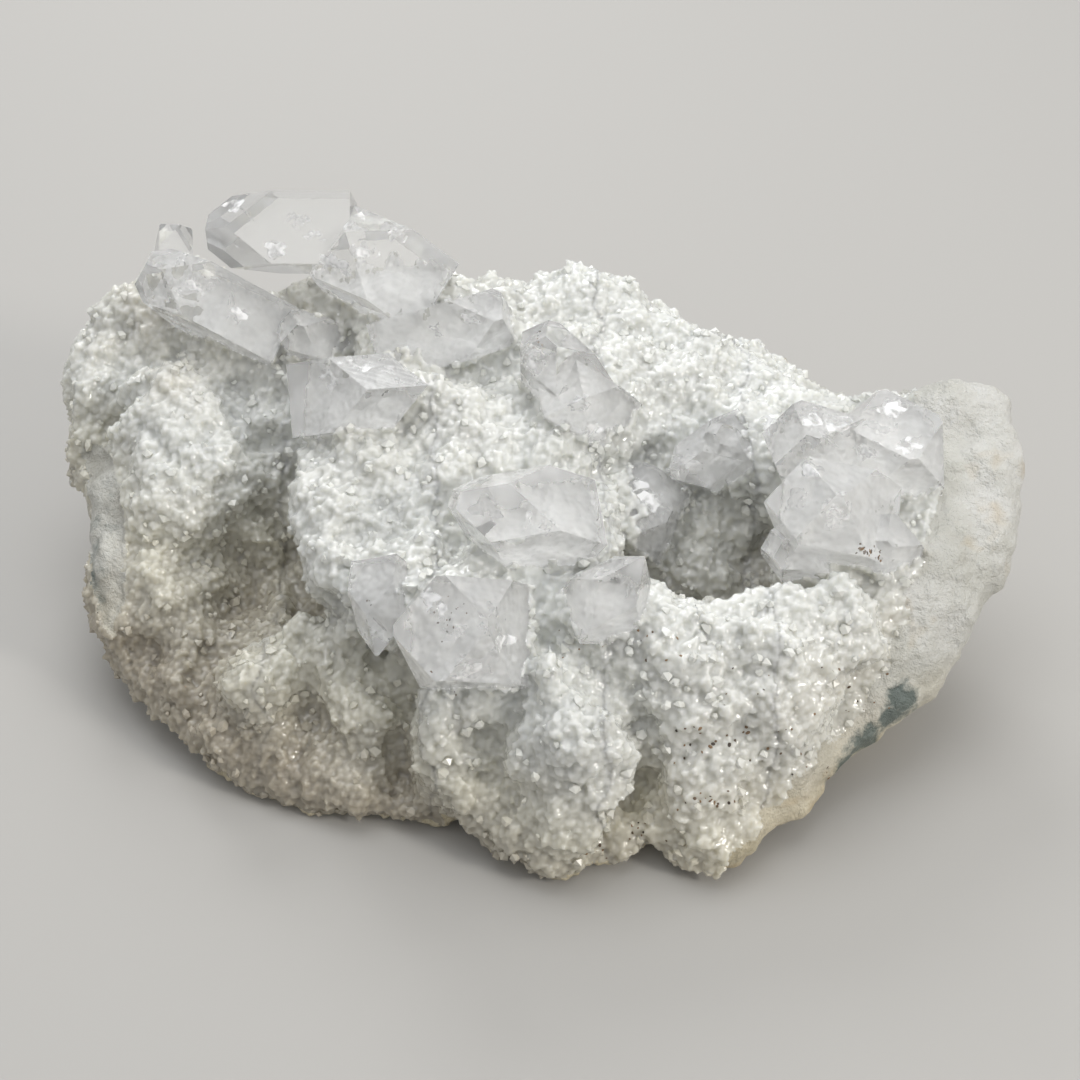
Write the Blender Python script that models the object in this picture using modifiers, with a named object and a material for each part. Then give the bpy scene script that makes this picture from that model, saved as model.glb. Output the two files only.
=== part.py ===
"""Apophyllite on quartz: a lumpy, drusy quartz matrix with clear apophyllite crystals in its hollows.

The matrix is one solid. Each apophyllite crystal, or group grown together, is its own solid, whose
root sits in a socket of the matrix. Metres, +Z up; the specimen rests on a flat spot at z = 0, and
the side that carries the crystals faces -Y and up.
"""

import math

import bmesh
import bpy
from mathutils import Matrix, Vector, noise
from mathutils.bvhtree import BVHTree

MM = 0.001
COLLECTION = "apophyllite_on_quartz"
CUTTERS = "cutters"

# The photograph's sight lines, by which places are given.
PHOTO_SIDE = 1080
PHOTO_WIDTH = 168 * MM
VIEW_DISTANCE = 300 * MM
VIEW_ELEVATION = math.radians(40)
LOOK_AT = Vector((1.7, -2.2, 27)) * MM

RIGHT = Vector((1, 0, 0))
UP = Vector((0, math.sin(VIEW_ELEVATION), math.cos(VIEW_ELEVATION)))
TOWARD = Vector((0, -math.cos(VIEW_ELEVATION), math.sin(VIEW_ELEVATION)))
EYE = LOOK_AT + VIEW_DISTANCE * TOWARD

# The matrix: the grid that its forms are joined on, its druse lumps, its swells, its facets.
VOXEL = 1.5 * MM
SKIN = 0.9 * MM
DRUSE_SCALE = 5.2 * MM
DRUSE_HEIGHT = 1.0 * MM
SWELL_SCALE = 14 * MM
SWELL_HEIGHT = 1.5 * MM
MATRIX_TRIANGLES = 7600

# The crystals: how far a root goes down, the room round it, the tilt of the pyramid's faces.
ROOT = 5 * MM
SOCKET_GAP = 0.3 * MM
PYRAMID_TILT = math.radians(60.5)

# The corners (mm) of the broken block behind the forms.
CORE = (
    (-44, -17, -4), (-30, -28, -4), (20, -38, -4), (48, -24, -4), (50, 16, -4), (4, 34, -4), (-38, 26, -4),
    (-53, -8, 2), (-40, -22, 1), (-61, 3, 7), (-60, 21, 28), (-50, 43, 38), (-18, 50, 40), (22, 45, 40),
    (52, 29, 34), (66, 13, 28), (60, -10, 14), (-18, -20, 8), (22, -24, 8), (20, 39, 12), (-30, 35, 14),
)

# Each form is a chain of (across, down, height, radius): where the photograph shows its middle, in
# pixels, then its middle's height over the table and its radius, in millimetres.
FORMS = {
    "left lobe": [(168, 355, 34, 10)],
    "left lobe crest": [(104, 425, 28, 4.6), (98, 385, 33, 5), (106, 350, 37, 5), (130, 320, 41, 5)],
    "left lobe top": [(130, 320, 41, 5), (165, 298, 43, 4.8), (205, 300, 42, 5)],
    "left lobe back": [(200, 330, 40, 9), (240, 350, 38, 9)],
    "left knob": [(84, 463, 24, 3.6)],
    "left rind": [(106, 485, 26, 2.6), (110, 560, 20, 3), (124, 630, 13, 3.2)],
    "left rim": [(96, 495, 23, 2.6), (96, 522, 21, 2.2), (106, 552, 18, 2.6), (104, 590, 15, 2.6)],
    "left rim foot": [(104, 590, 15, 2.6), (120, 640, 10, 3), (166, 692, 6, 3)],
    "lower left rim": [(166, 692, 6, 3), (202, 736, 4.5, 2.6), (258, 764, 3.5, 3), (315, 792, 3, 3)],
    "behind the left lobe": [(135, 420, 25, 8), (150, 490, 20, 8), (160, 560, 12, 6)],
    "left slope": [(180, 425, 31, 10), (195, 475, 27, 10), (180, 545, 20, 7), (165, 610, 14, 6)],
    "left slope knob": [(238, 505, 24, 5)],
    "left slope foot": [(165, 590, 16, 6), (200, 640, 11, 6)],
    "lower left plate": [(190, 685, 8, 5.5), (245, 730, 6, 5), (320, 766, 4, 5)],
    "lower left knob": [(258, 688, 14, 5.6)],
    "lower left lump": [(236, 744, 6, 4.4)],
    "cavity floor": [(250, 600, 12, 6), (300, 640, 10, 7)],
    "cavity foot": [(225, 650, 9, 6), (290, 690, 6, 6.5), (340, 740, 3, 5)],
    "cavity back": [(270, 500, 22, 7), (285, 560, 16, 6)],
    "centre bulge": [(380, 430, 36, 11), (375, 490, 33, 10), (400, 545, 30, 9)],
    "centre bulge edge": [(335, 470, 36, 5), (328, 520, 34, 5), (335, 560, 31, 4.6), (370, 605, 28, 5)],
    "centre middle": [(450, 440, 36, 11), (470, 500, 32, 11), (540, 480, 32, 11), (560, 560, 30, 10)],
    "centre front": [(445, 610, 27, 10), (520, 620, 26, 10)],
    "middle lump": [(320, 660, 16, 6), (372, 705, 12, 7.5), (355, 740, 8, 5.5)],
    "first stalactite": [(447, 690, 22, 4.6), (446, 740, 15, 5.6), (451, 790, 8, 4.2)],
    "behind the stalactites": [(400, 690, 10, 7), (500, 688, 12, 7), (610, 700, 10, 7)],
    "foot of the stalactites": [(420, 740, 4, 5), (500, 760, 4, 5), (590, 790, 4, 5)],
    "shaded lumps": [(345, 780, 4, 3.4), (395, 792, 4, 3.6), (440, 802, 3.5, 3.4)],
    "second stalactite": [(553, 690, 26, 4.4), (580, 745, 19, 7.6), (568, 800, 11, 6.8), (557, 852, 4, 4.2)],
    "second stalactite left": [(533, 750, 16, 4.4), (510, 828, 6, 4.6)],
    "crevice floor": [(645, 806, 4, 4), (610, 842, 3, 3)],
    "right bulge": [(650, 655, 27, 6.6), (705, 705, 21, 9), (700, 780, 11, 7), (700, 832, 4.5, 5)],
    "right bulge side": [(770, 680, 22, 10), (780, 750, 12, 7.5)],
    "basin lip": [(600, 620, 31, 6), (680, 625, 31, 4.6), (760, 632, 30, 5), (840, 630, 29, 6)],
    "right rim foot": [(724, 838, 5, 4), (768, 802, 7, 3.8), (828, 747, 10, 4)],
    "right rim": [(828, 747, 10, 4), (902, 684, 15, 4.2), (954, 616, 22, 4.4)],
    "right rim back": [(954, 616, 22, 4.4), (976, 560, 27, 4.4), (986, 500, 32, 4.4), (990, 440, 37, 4.4)],
    "right corner": [(984, 416, 39, 4.2), (952, 408, 40, 4.2)],
    "right mass": [(890, 630, 20, 9), (920, 560, 26, 9), (930, 480, 31, 9), (850, 680, 15, 8)],
    "crystal bench": [(820, 570, 27, 7), (870, 510, 31, 9), (800, 480, 32, 9), (760, 450, 34, 8)],
    "basin floor": [(700, 570, 18, 7), (730, 520, 23, 7)],
    "back ridge left": [(335, 325, 42, 8), (400, 320, 43, 7), (470, 322, 44, 6.6)],
    "back ridge": [(470, 322, 44, 6.6), (520, 324, 44, 6.2), (585, 316, 44, 6.6)],
    "back ridge right": [(585, 316, 44, 6.6), (650, 352, 40, 6), (705, 374, 38, 6), (742, 398, 36, 5.4)],
    "back ridge end": [(742, 398, 36, 5.4), (810, 424, 34, 5.2), (875, 424, 35, 5.2), (920, 432, 36, 5)],
    "pale slope": [(440, 375, 38, 10), (500, 380, 39, 10), (570, 385, 39, 10), (640, 398, 36, 10)],
    "pale slope end": [(640, 398, 36, 10), (700, 420, 34, 8)],
    "pale slope foot": [(520, 430, 36, 10), (600, 450, 33, 9), (660, 462, 29, 8), (705, 475, 27, 7)],
    "between the lobes": [(290, 350, 36, 9), (300, 410, 32, 9), (255, 440, 26, 8)],
}

# Each crystal: its root and its tip where the photograph shows them, how much nearer to the eye the
# tip is and how wide the prism is (mm), its turn about its axis, and how much of the pyramid the flat
# cap takes off. A crystal with a seat is as far off as the matrix is at that pixel, and the others as
# the matrix is at their root.
CRYSTALS = {
    "apophyllite_back_cluster": [
        dict(root=(322, 233), tip=(208, 232), nearer=0, width=11.6, turn=0, cap=0.24, seat=(352, 300)),
        dict(root=(398, 288), tip=(332, 240), nearer=4, width=14, turn=15, cap=0.5),
        dict(root=(412, 342), tip=(508, 316), nearer=4, width=9.6, turn=10, cap=0.4),
    ],
    "apophyllite_left_lobe": [
        dict(root=(252, 326), tip=(143, 268), nearer=5, width=10, turn=12, cap=0.3),
        dict(root=(172, 266), tip=(176, 226), nearer=0, width=5.4, turn=20, cap=0.45, seat=(172, 300)),
        dict(root=(314, 342), tip=(286, 326), nearer=4, width=7, turn=20, cap=0.4),
    ],
    "apophyllite_upper_left": [
        dict(root=(338, 398), tip=(428, 385), nearer=10, width=11.4, turn=0, cap=0),
    ],
    "apophyllite_upper_middle": [
        dict(root=(578, 400), tip=(534, 334), nearer=7, width=9.2, turn=20, cap=0.35),
        dict(root=(588, 410), tip=(560, 388), nearer=7, width=10, turn=5, cap=0.5),
    ],
    "apophyllite_centre": [
        dict(root=(550, 528), tip=(454, 499), nearer=8, width=12.4, turn=45, cap=0.15),
    ],
    "apophyllite_fractured_block": [
        dict(root=(644, 520), tip=(634, 500), nearer=9, width=12.5, turn=30, cap=0.6),
    ],
    "apophyllite_basin_lip": [
        dict(root=(612, 598), tip=(645, 556), nearer=6, width=9, turn=45, cap=0),
    ],
    "apophyllite_wedge": [
        dict(root=(384, 600), tip=(377, 655), nearer=4, width=7.8, turn=30, cap=0.05),
    ],
    "apophyllite_large_front": [
        dict(root=(482, 638), tip=(440, 628), nearer=12, width=14.6, turn=22, cap=0.55),
    ],
    "apophyllite_bench_cluster": [
        dict(root=(842, 522), tip=(800, 498), nearer=9, width=13.4, turn=22, cap=0.45),
        dict(root=(830, 458), tip=(784, 434), nearer=6, width=12, turn=10, cap=0.4),
        dict(root=(886, 458), tip=(898, 424), nearer=6, width=14, turn=20, cap=0.55),
        dict(root=(888, 552), tip=(874, 528), nearer=6, width=8, turn=0, cap=0.4),
        dict(root=(804, 556), tip=(772, 544), nearer=5, width=7.2, turn=30, cap=0.3),
    ],
    "apophyllite_basin_edge": [
        dict(root=(720, 454), tip=(674, 474), nearer=6, width=8.4, turn=20, cap=0.15),
        dict(root=(736, 462), tip=(714, 428), nearer=5, width=5, turn=70, cap=0.3),
    ],
}


def clear_scene():
    for obj in list(bpy.data.objects):
        bpy.data.objects.remove(obj, do_unlink=True)


def new_collection(name):
    collection = bpy.data.collections.new(name)
    bpy.context.scene.collection.children.link(collection)
    return collection


def material(name, colour, roughness, transmission):
    made = bpy.data.materials.new(name)
    made.use_nodes = True
    shader = made.node_tree.nodes["Principled BSDF"]
    shader.inputs["Base Color"].default_value = (*colour, 1)
    shader.inputs["Roughness"].default_value = roughness
    shader.inputs["Metallic"].default_value = 0
    shader.inputs["Transmission Weight"].default_value = transmission
    return made


def quartz(name):
    return material(name, (0.78, 0.78, 0.75), 0.45, 0)


def apophyllite(name):
    return material(name, (0.90, 0.93, 0.93), 0.06, 0.8)


def object_of(bm, name, collection):
    mesh = bpy.data.meshes.new(name)
    bm.to_mesh(mesh)
    bm.free()
    obj = bpy.data.objects.new(name, mesh)
    collection.objects.link(obj)
    return obj


def apply_modifiers(obj):
    """Puts the evaluated mesh in place of the object's own, and drops its modifiers."""
    graph = bpy.context.evaluated_depsgraph_get()
    mesh = bpy.data.meshes.new_from_object(obj.evaluated_get(graph))
    old = obj.data
    obj.modifiers.clear()
    obj.data = mesh
    bpy.data.meshes.remove(old)


def combine(obj, other, operation):
    modifier = obj.modifiers.new(other.name, "BOOLEAN")
    modifier.operation = operation
    modifier.solver = "EXACT"
    modifier.object = other


def sight_line(across, down):
    """The direction in which the photograph's eye sees this pixel."""
    pixel = PHOTO_WIDTH / PHOTO_SIDE
    offset = RIGHT * (across - PHOTO_SIDE / 2) * pixel + UP * (PHOTO_SIDE / 2 - down) * pixel
    return offset - VIEW_DISTANCE * TOWARD


def seen_at(across, down, height):
    """The point at this height (mm) that the photograph shows at this pixel."""
    line = sight_line(across, down)
    return EYE + line * ((height * MM - EYE.z) / line.z)


def level_with(point, across, down, nearer=0):
    """The point of a pixel's sight line that is as far off as another point, or so much nearer (m)."""
    line = sight_line(across, down)
    return EYE + line * (((point - EYE).dot(TOWARD) + nearer) / line.dot(TOWARD))


def sphere_points():
    """The corners of a unit icosphere."""
    bm = bmesh.new()
    bmesh.ops.create_icosphere(bm, subdivisions=2, radius=1)
    points = [vertex.co.copy() for vertex in bm.verts]
    bm.free()
    return points


def add_hull(bm, points):
    """Adds the convex hull of points to bm, as a closed shell of its own."""
    corners = [bm.verts.new(point) for point in points]
    made = bmesh.ops.convex_hull(bm, input=corners)
    faces = [item for item in made["geom"] if isinstance(item, bmesh.types.BMFace)]
    bmesh.ops.recalc_face_normals(bm, faces=faces)
    inside = {item for item in made["geom_interior"] if isinstance(item, bmesh.types.BMVert)}
    bmesh.ops.delete(bm, geom=list(inside), context="VERTS")


def rough_forms(name, collection):
    """All the forms and the block behind them, as overlapping shells in one mesh."""
    ball = sphere_points()
    bm = bmesh.new()
    add_hull(bm, [Vector(corner) * MM for corner in CORE])
    for chain in FORMS.values():
        spheres = [(seen_at(*place), radius * MM) for *place, radius in chain]
        for pair in zip(spheres, spheres[1:] or spheres):
            add_hull(bm, [centre + radius * point for centre, radius in pair for point in ball])
    return object_of(bm, name, collection)


def remesh(obj):
    modifier = obj.modifiers.new("join", "REMESH")
    modifier.mode = "VOXEL"
    modifier.voxel_size = VOXEL
    apply_modifiers(obj)


def roughened(at, normal):
    """A point of the skin, moved along its normal by swells and by lumps of druse."""
    swell = noise.noise(at / SWELL_SCALE) * SWELL_HEIGHT
    nearest, _ = noise.voronoi(at / DRUSE_SCALE)
    lump = (0.5 - nearest[0]) * 2 * DRUSE_HEIGHT
    return at + normal * (SKIN + swell + lump)


def roughen(obj):
    vertices = obj.data.vertices
    moved = [roughened(vertex.co, vertex.normal) for vertex in vertices]
    vertices.foreach_set("co", [number for point in moved for number in point])
    obj.data.update()


def reduce(obj, triangles):
    modifier = obj.modifiers.new("reduce", "DECIMATE")
    obj.data.calc_loop_triangles()
    modifier.ratio = triangles / len(obj.data.loop_triangles)
    modifier.use_collapse_triangulate = True
    apply_modifiers(obj)


def cut_off(bm, point, normal):
    """Takes off what lies beyond a plane, and closes the cut."""
    everything = bm.verts[:] + bm.edges[:] + bm.faces[:]
    cut = bmesh.ops.bisect_plane(
        bm, geom=everything, plane_co=point, plane_no=normal, clear_outer=True, dist=0.001 * MM
    )
    rim = [item for item in cut["geom_cut"] if isinstance(item, bmesh.types.BMEdge)]
    bmesh.ops.holes_fill(bm, edges=rim)


def cut_flat_spot(obj):
    bm = bmesh.new()
    bm.from_mesh(obj.data)
    cut_off(bm, Vector((0, 0, 0)), Vector((0, 0, -1)))
    bmesh.ops.triangulate(bm, faces=[face for face in bm.faces if len(face.verts) > 3])
    bm.to_mesh(obj.data)
    bm.free()


def make_matrix(name, collection):
    obj = rough_forms(name, collection)
    remesh(obj)
    roughen(obj)
    remesh(obj)
    reduce(obj, MATRIX_TRIANGLES)
    cut_flat_spot(obj)
    obj.data.materials.append(quartz(name))
    return obj


def axis_frame(foot, tip, turn):
    """A matrix whose origin is the tip, whose Z is the axis and whose Y faces away from the eye."""
    along = (tip - foot).normalized()
    across = along.cross(TOWARD).normalized()
    away = along.cross(across)
    upright = Matrix((across, away, along)).transposed().to_4x4()
    return Matrix.Translation(tip) @ upright @ Matrix.Rotation(turn, 4, "Z")


def crystal_ends(spec, tree):
    """The foot, below the matrix's skin, and the tip."""
    seat = spec.get("seat", spec["root"])
    skin = tree.ray_cast(EYE, sight_line(*seat))[0]
    root = level_with(skin, *spec["root"])
    tip = level_with(skin, *spec["tip"], nearer=spec["nearer"] * MM)
    return root + (root - tip).normalized() * ROOT, tip


def crystal(spec, name, tree, collection, grow):
    """A square prism, its corners cut by the pyramid's faces and its point by the flat cap."""
    foot, tip = crystal_ends(spec, tree)
    half = spec["width"] * MM / 2
    lost = half * math.sqrt(2) * math.tan(PYRAMID_TILT) * spec["cap"]
    top = grow
    bottom = -(tip - foot).length - grow
    size = Matrix.Diagonal((2 * (half + grow), 2 * (half + grow), top - bottom, 1))
    bm = bmesh.new()
    bmesh.ops.create_cube(bm, size=1, matrix=Matrix.Translation((0, 0, (top + bottom) / 2)) @ size)
    for quarter in range(4):
        normal = Vector((math.sin(PYRAMID_TILT), 0, math.cos(PYRAMID_TILT)))
        normal.rotate(Matrix.Rotation(math.radians(45 + 90 * quarter), 3, "Z"))
        cut_off(bm, Vector((0, 0, lost)) + normal * grow, normal)
    bmesh.ops.transform(bm, matrix=axis_frame(foot, tip, math.radians(spec["turn"])), verts=bm.verts)
    bmesh.ops.recalc_face_normals(bm, faces=bm.faces)
    return object_of(bm, name, collection)


def crystal_group(name, specs, tree, collection, grow=0):
    """The crystals of one group, grown together into one solid."""
    crystals = [crystal(spec, f"{name}_{i}", tree, collection, grow) for i, spec in enumerate(specs)]
    group, *others = crystals
    group.name = name
    for other in others:
        combine(group, other, "UNION")
    apply_modifiers(group)
    for other in others:
        bpy.data.objects.remove(other)
    return group


def body_of(start):
    """All the corners joined to one corner by edges."""
    body = {start}
    front = [start]
    while front:
        here = front.pop()
        reached = {edge.other_vert(here) for edge in here.link_edges} - body
        body |= reached
        front.extend(reached)
    return body


def keep_largest_body(obj):
    """Drops the chips that the sockets cut loose."""
    bm = bmesh.new()
    bm.from_mesh(obj.data)
    left = set(bm.verts)
    bodies = []
    while left:
        bodies.append(body_of(next(iter(left))))
        left -= bodies[-1]
    bodies.sort(key=len)
    for chip in bodies[:-1]:
        bmesh.ops.delete(bm, geom=list(chip), context="VERTS")
    bm.to_mesh(obj.data)
    bm.free()


def main():
    clear_scene()
    parts = new_collection(COLLECTION)
    cutters = new_collection(CUTTERS)
    matrix = make_matrix("quartz_matrix", parts)
    tree = BVHTree.FromObject(matrix, bpy.context.evaluated_depsgraph_get())
    for name, specs in CRYSTALS.items():
        group = crystal_group(name, specs, tree, parts)
        group.data.materials.append(apophyllite(name))
        socket = crystal_group(f"socket_{name}", specs, tree, cutters, SOCKET_GAP)
        socket.hide_render = True
        socket.display_type = "WIRE"
        combine(matrix, socket, "DIFFERENCE")
    apply_modifiers(matrix)
    keep_largest_body(matrix)


main()
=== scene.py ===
import json
import math

import bmesh
import bpy
import numpy as np
from mathutils import Matrix, Vector, noise
from mathutils.bvhtree import BVHTree
from mathutils.kdtree import KDTree


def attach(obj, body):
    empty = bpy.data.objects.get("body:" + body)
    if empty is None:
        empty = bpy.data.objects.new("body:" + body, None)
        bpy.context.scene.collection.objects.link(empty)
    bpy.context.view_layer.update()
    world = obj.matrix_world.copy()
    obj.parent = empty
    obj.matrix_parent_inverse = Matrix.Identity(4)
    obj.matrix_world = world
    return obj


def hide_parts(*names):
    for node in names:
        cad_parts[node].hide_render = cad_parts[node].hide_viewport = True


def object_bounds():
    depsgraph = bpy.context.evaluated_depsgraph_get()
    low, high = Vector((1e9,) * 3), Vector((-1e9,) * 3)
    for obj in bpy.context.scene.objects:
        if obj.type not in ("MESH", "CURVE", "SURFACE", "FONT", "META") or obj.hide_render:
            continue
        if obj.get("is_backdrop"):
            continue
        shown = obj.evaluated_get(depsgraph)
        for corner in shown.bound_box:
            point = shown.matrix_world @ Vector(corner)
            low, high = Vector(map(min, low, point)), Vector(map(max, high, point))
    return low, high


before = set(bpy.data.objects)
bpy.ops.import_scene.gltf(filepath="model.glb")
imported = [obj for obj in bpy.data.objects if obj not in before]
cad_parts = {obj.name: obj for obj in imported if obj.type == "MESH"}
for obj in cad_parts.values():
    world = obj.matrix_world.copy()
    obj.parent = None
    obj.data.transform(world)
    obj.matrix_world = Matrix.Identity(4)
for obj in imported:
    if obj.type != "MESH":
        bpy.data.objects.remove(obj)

CAD_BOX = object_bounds()
MM = 0.001
SEED = 20

# The photograph's sight lines, by which places are given.
PHOTO_SIDE = 1080
PHOTO_WIDTH = 168 * MM
VIEW_DISTANCE = 300 * MM
VIEW_ELEVATION = math.radians(40)
LOOK_AT = Vector((1.7, -2.2, 27)) * MM
RIGHT = Vector((1, 0, 0))
UP = Vector((0, math.sin(VIEW_ELEVATION), math.cos(VIEW_ELEVATION)))
TOWARD = Vector((0, -math.cos(VIEW_ELEVATION), math.sin(VIEW_ELEVATION)))
EYE = LOOK_AT + VIEW_DISTANCE * TOWARD

# The skin of the matrix: its grid, and the heights and scales of its relief.
SKIN_VOXEL = 0.75 * MM
LUMPS = ((6.6 * MM, 1.4 * MM), (3.1 * MM, 0.75 * MM))
SWELL = (13 * MM, 0.8 * MM)
BREAK = ((9 * MM, 1.2 * MM), (3.2 * MM, 0.6 * MM), (1.3 * MM, 0.3 * MM))

# The druse: the radii of its crystals, how close they stand, how many places are tried, and the grid
# on which they grow together with the skin.
GRAIN_RADIUS = (0.42 * MM, 0.92 * MM)
GRAIN_SPACING = 0.72
GRAIN_TRIES = 130000
OVERGROWTH_TRIES = 50000
DRUSE_VOXEL = 0.385 * MM
BEADS = (1.02 * MM, 0.72 * MM)
PIECE_TRIANGLES = 190000
POINT_SHARE = 0.12


def sight_line(across, down):
    """The direction in which the photograph's eye sees this pixel."""
    pixel = PHOTO_WIDTH / PHOTO_SIDE
    offset = RIGHT * (across - PHOTO_SIDE / 2) * pixel + UP * (PHOTO_SIDE / 2 - down) * pixel
    return offset - VIEW_DISTANCE * TOWARD


def seen_at(across, down, height):
    """The point at this height (mm) that the photograph shows at this pixel."""
    line = sight_line(across, down)
    return EYE + line * ((height * MM - EYE.z) / line.z)


# The smooth broken areas that the photograph shows, as pixels round them: the right edge with its corner
# block, and the strip at the far left.
SMOOTH = (
    (
        (916, 350), (918, 400), (926, 440), (938, 480), (932, 540), (918, 590), (904, 640), (866, 700),
        (822, 758), (768, 812), (732, 850), (720, 900), (1060, 900), (1060, 350),
    ),
    ((84, 446), (108, 448), (124, 490), (132, 545), (127, 600), (112, 640), (96, 600), (86, 540)),
)

# Spots of dark green rock on the right edge: (across, down, height, radius), pixels and mm.
GREEN_SPOTS = ((902, 700, 17, 4.4), (868, 746, 11.5, 4.6), (846, 768, 9, 3.6), (893, 716, 15, 3.2))


# Grooves and knobs of the matrix where the photograph shows them: how far they stand out (mm, less
# than nothing for a groove), how wide they are, and the pixels that they pass.
STROKES = (
    (-4.6, 6.0, ((272, 512), (288, 540), (255, 568), (256, 588))),
    (-5.0, 5.0, ((285, 545), (302, 598), (328, 612))),
    (-2.0, 3.6, ((108, 432), (126, 402), (150, 376), (184, 346), (190, 318))),
    (-2.0, 4.0, ((140, 545), (182, 560), (226, 545))),
    (-2.2, 4.2, ((228, 600), (220, 640), (196, 672))),
    (-2.0, 3.0, ((266, 296), (274, 332))),
    (-1.6, 5.0, ((290, 322), (350, 326), (400, 336), (470, 322))),
    (-0.8, 4.0, ((256, 390), (290, 402), (322, 440))),
    (-2.8, 4.2, ((452, 538), (436, 560), (426, 588))),
    (-1.8, 3.6, ((400, 642), (406, 680), (412, 706))),
    (-1.8, 3.6, ((406, 704), (402, 742), (398, 792))),
    (-1.2, 4.2, ((520, 662), (505, 702), (502, 760), (500, 812))),
    (-2.0, 4.2, ((556, 640), (590, 682), (616, 704), (642, 722))),
    (-2.2, 3.8, ((646, 735), (650, 766), (636, 792), (616, 812))),
    (-2.2, 4.0, ((600, 852), (614, 822))),
    (-2.2, 3.6, ((690, 746), (716, 730), (746, 746), (750, 718))),
    (2.0, 6.0, ((690, 520), (700, 545), (680, 560), (712, 580))),
    (-1.0, 4.0, ((738, 606), (772, 600))),
    (-3.0, 3.6, ((566, 462), (590, 476), (622, 466), (652, 456))),
    (-1.8, 4.0, ((300, 642), (310, 700), (332, 746))),
    (-1.8, 4.0, ((350, 612), (372, 660), (382, 690))),
    (-1.5, 5.0, ((850, 642), (838, 606), (802, 622))),
    (1.6, 3.6, ((236, 504), (242, 508))),
    (1.6, 5.0, ((560, 730), (590, 746), (626, 766), (612, 790))),
    (1.5, 3.0, ((545, 662), (550, 694))),
    (1.4, 4.0, ((434, 702), (436, 746))),
    (1.4, 3.6, ((452, 788), (466, 792))),
    (1.6, 5.0, ((244, 684), (262, 696))),
    (1.6, 5.0, ((336, 500), (320, 546), (342, 570), (372, 560))),
    (1.4, 4.4, ((158, 566), (162, 592))),
    (1.5, 4.6, ((164, 372), (180, 352))),
    (1.3, 4.0, ((404, 376), (440, 386))),
    (1.3, 4.5, ((636, 640), (700, 662), (752, 642))),
    (1.2, 4.0, ((518, 748), (516, 764))),
)

# Places behind the front forms where the matrix is solid: (across, down, height, radius), pixels and mm.
FILLS = (
    (500, 710, 17, 6.8), (606, 792, 6, 6.6), (392, 700, 13, 5), (476, 704, 21, 4.6), (480, 752, 14, 4.8),
    (478, 786, 8, 4), (502, 700, 22, 4.6), (646, 772, 10, 4.6), (705, 565, 17, 7.5),
)


# How much light the milkier crystals let through; the others let 0.84 through.
MILKY = {
    "bench_cluster": 0.785, "fractured_block": 0.79, "back_cluster": 0.81, "left_lobe": 0.79,
    "upper_left": 0.80, "basin_edge": 0.79,
}

# Fractures in the crystals, with painted highlights on the faces: (across, down) in pixels, how deep and how wide
# (mm), how far they face the eye.
VEILS = (
    (330, 262, 2.0, 2.0, 1), (345, 268, 3.0, 1.6, 1), (356, 226, 1.5, 2.4, 0.3), (318, 236, 2.5, 2.2, 0.6),
    (250, 216, 2.0, 1.8, 0.4), (296, 222, 2.5, 2.4, 0.4), (236, 240, 2.0, 1.6, 0.6),
    (164, 256, 1.6, 0.9, 0.5), (178, 264, 1.5, 1.7, 0.4), (200, 284, 2.0, 2.4, 0.5), (232, 300, 2.0, 2.0, 0.8),
    (346, 360, 1.0, 1.5, 1), (364, 366, 1.4, 1.7, 1), (386, 372, 1.6, 1.4, 0.5), (402, 386, 2.0, 1.5, 0.3),
    (652, 500, 1.6, 2.2, 1), (646, 522, 2.4, 2.0, 0.6), (664, 512, 1.6, 1.6, 0.4), (612, 506, 2.6, 2.0, 1),
    (604, 574, 1.0, 1.6, 0.8), (628, 590, 1.8, 1.6, 0.4),
    (438, 612, 1.6, 1.7, 1), (456, 632, 2.4, 2.0, 0.8), (478, 664, 1.4, 2.2, 0.3), (492, 620, 3.0, 2.2, 0.8),
    (534, 352, 1.6, 1.5, 1), (546, 332, 2.2, 1.3, 0.7), (562, 392, 1.6, 1.8, 0.7), (580, 404, 2.4, 1.6, 1),
    (772, 424, 1.2, 2.0, 1), (794, 432, 1.6, 2.2, 0.8), (826, 440, 1.6, 2.2, 0.6), (812, 420, 2.6, 2.0, 1),
    (800, 500, 2.8, 2.6, 0.8), (832, 516, 3.2, 2.2, 1), (880, 430, 2.0, 2.4, 0.8), (908, 446, 2.6, 2.0, 1),
    (690, 462, 1.4, 1.6, 0.8), (676, 470, 1.6, 1.4, 1), (380, 624, 1.2, 1.4, 0.6),
    (486, 508, 3.6, 2.4, 0.8), (540, 520, 2.0, 2.2, 1), (470, 318, 1.6, 1.6, 0.6), (440, 330, 2.0, 1.8, 0.6),
    (366, 250, 2.0, 2.2, 1), (398, 236, 1.6, 1.8, 1), (190, 290, 1.6, 2.0, 1),
    (236, 316, 1.6, 1.8, 1), (330, 380, 1.6, 2.0, 1), (536, 366, 1.4, 1.8, 1), (590, 430, 1.4, 1.6, 1),
    (838, 424, 1.6, 2.4, 1), (862, 452, 1.6, 2.0, 1), (812, 470, 2.0, 1.8, 1),
    (500, 640, 2.0, 1.8, 1), (430, 596, 1.6, 1.6, 1), (466, 670, 1.2, 2.0, 1), (636, 484, 1.6, 1.8, 1),
    (236, 206, 2.0, 2.0, 1), (276, 250, 2.0, 1.8, 1), (892, 410, 1.6, 2.2, 1),
)

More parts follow.
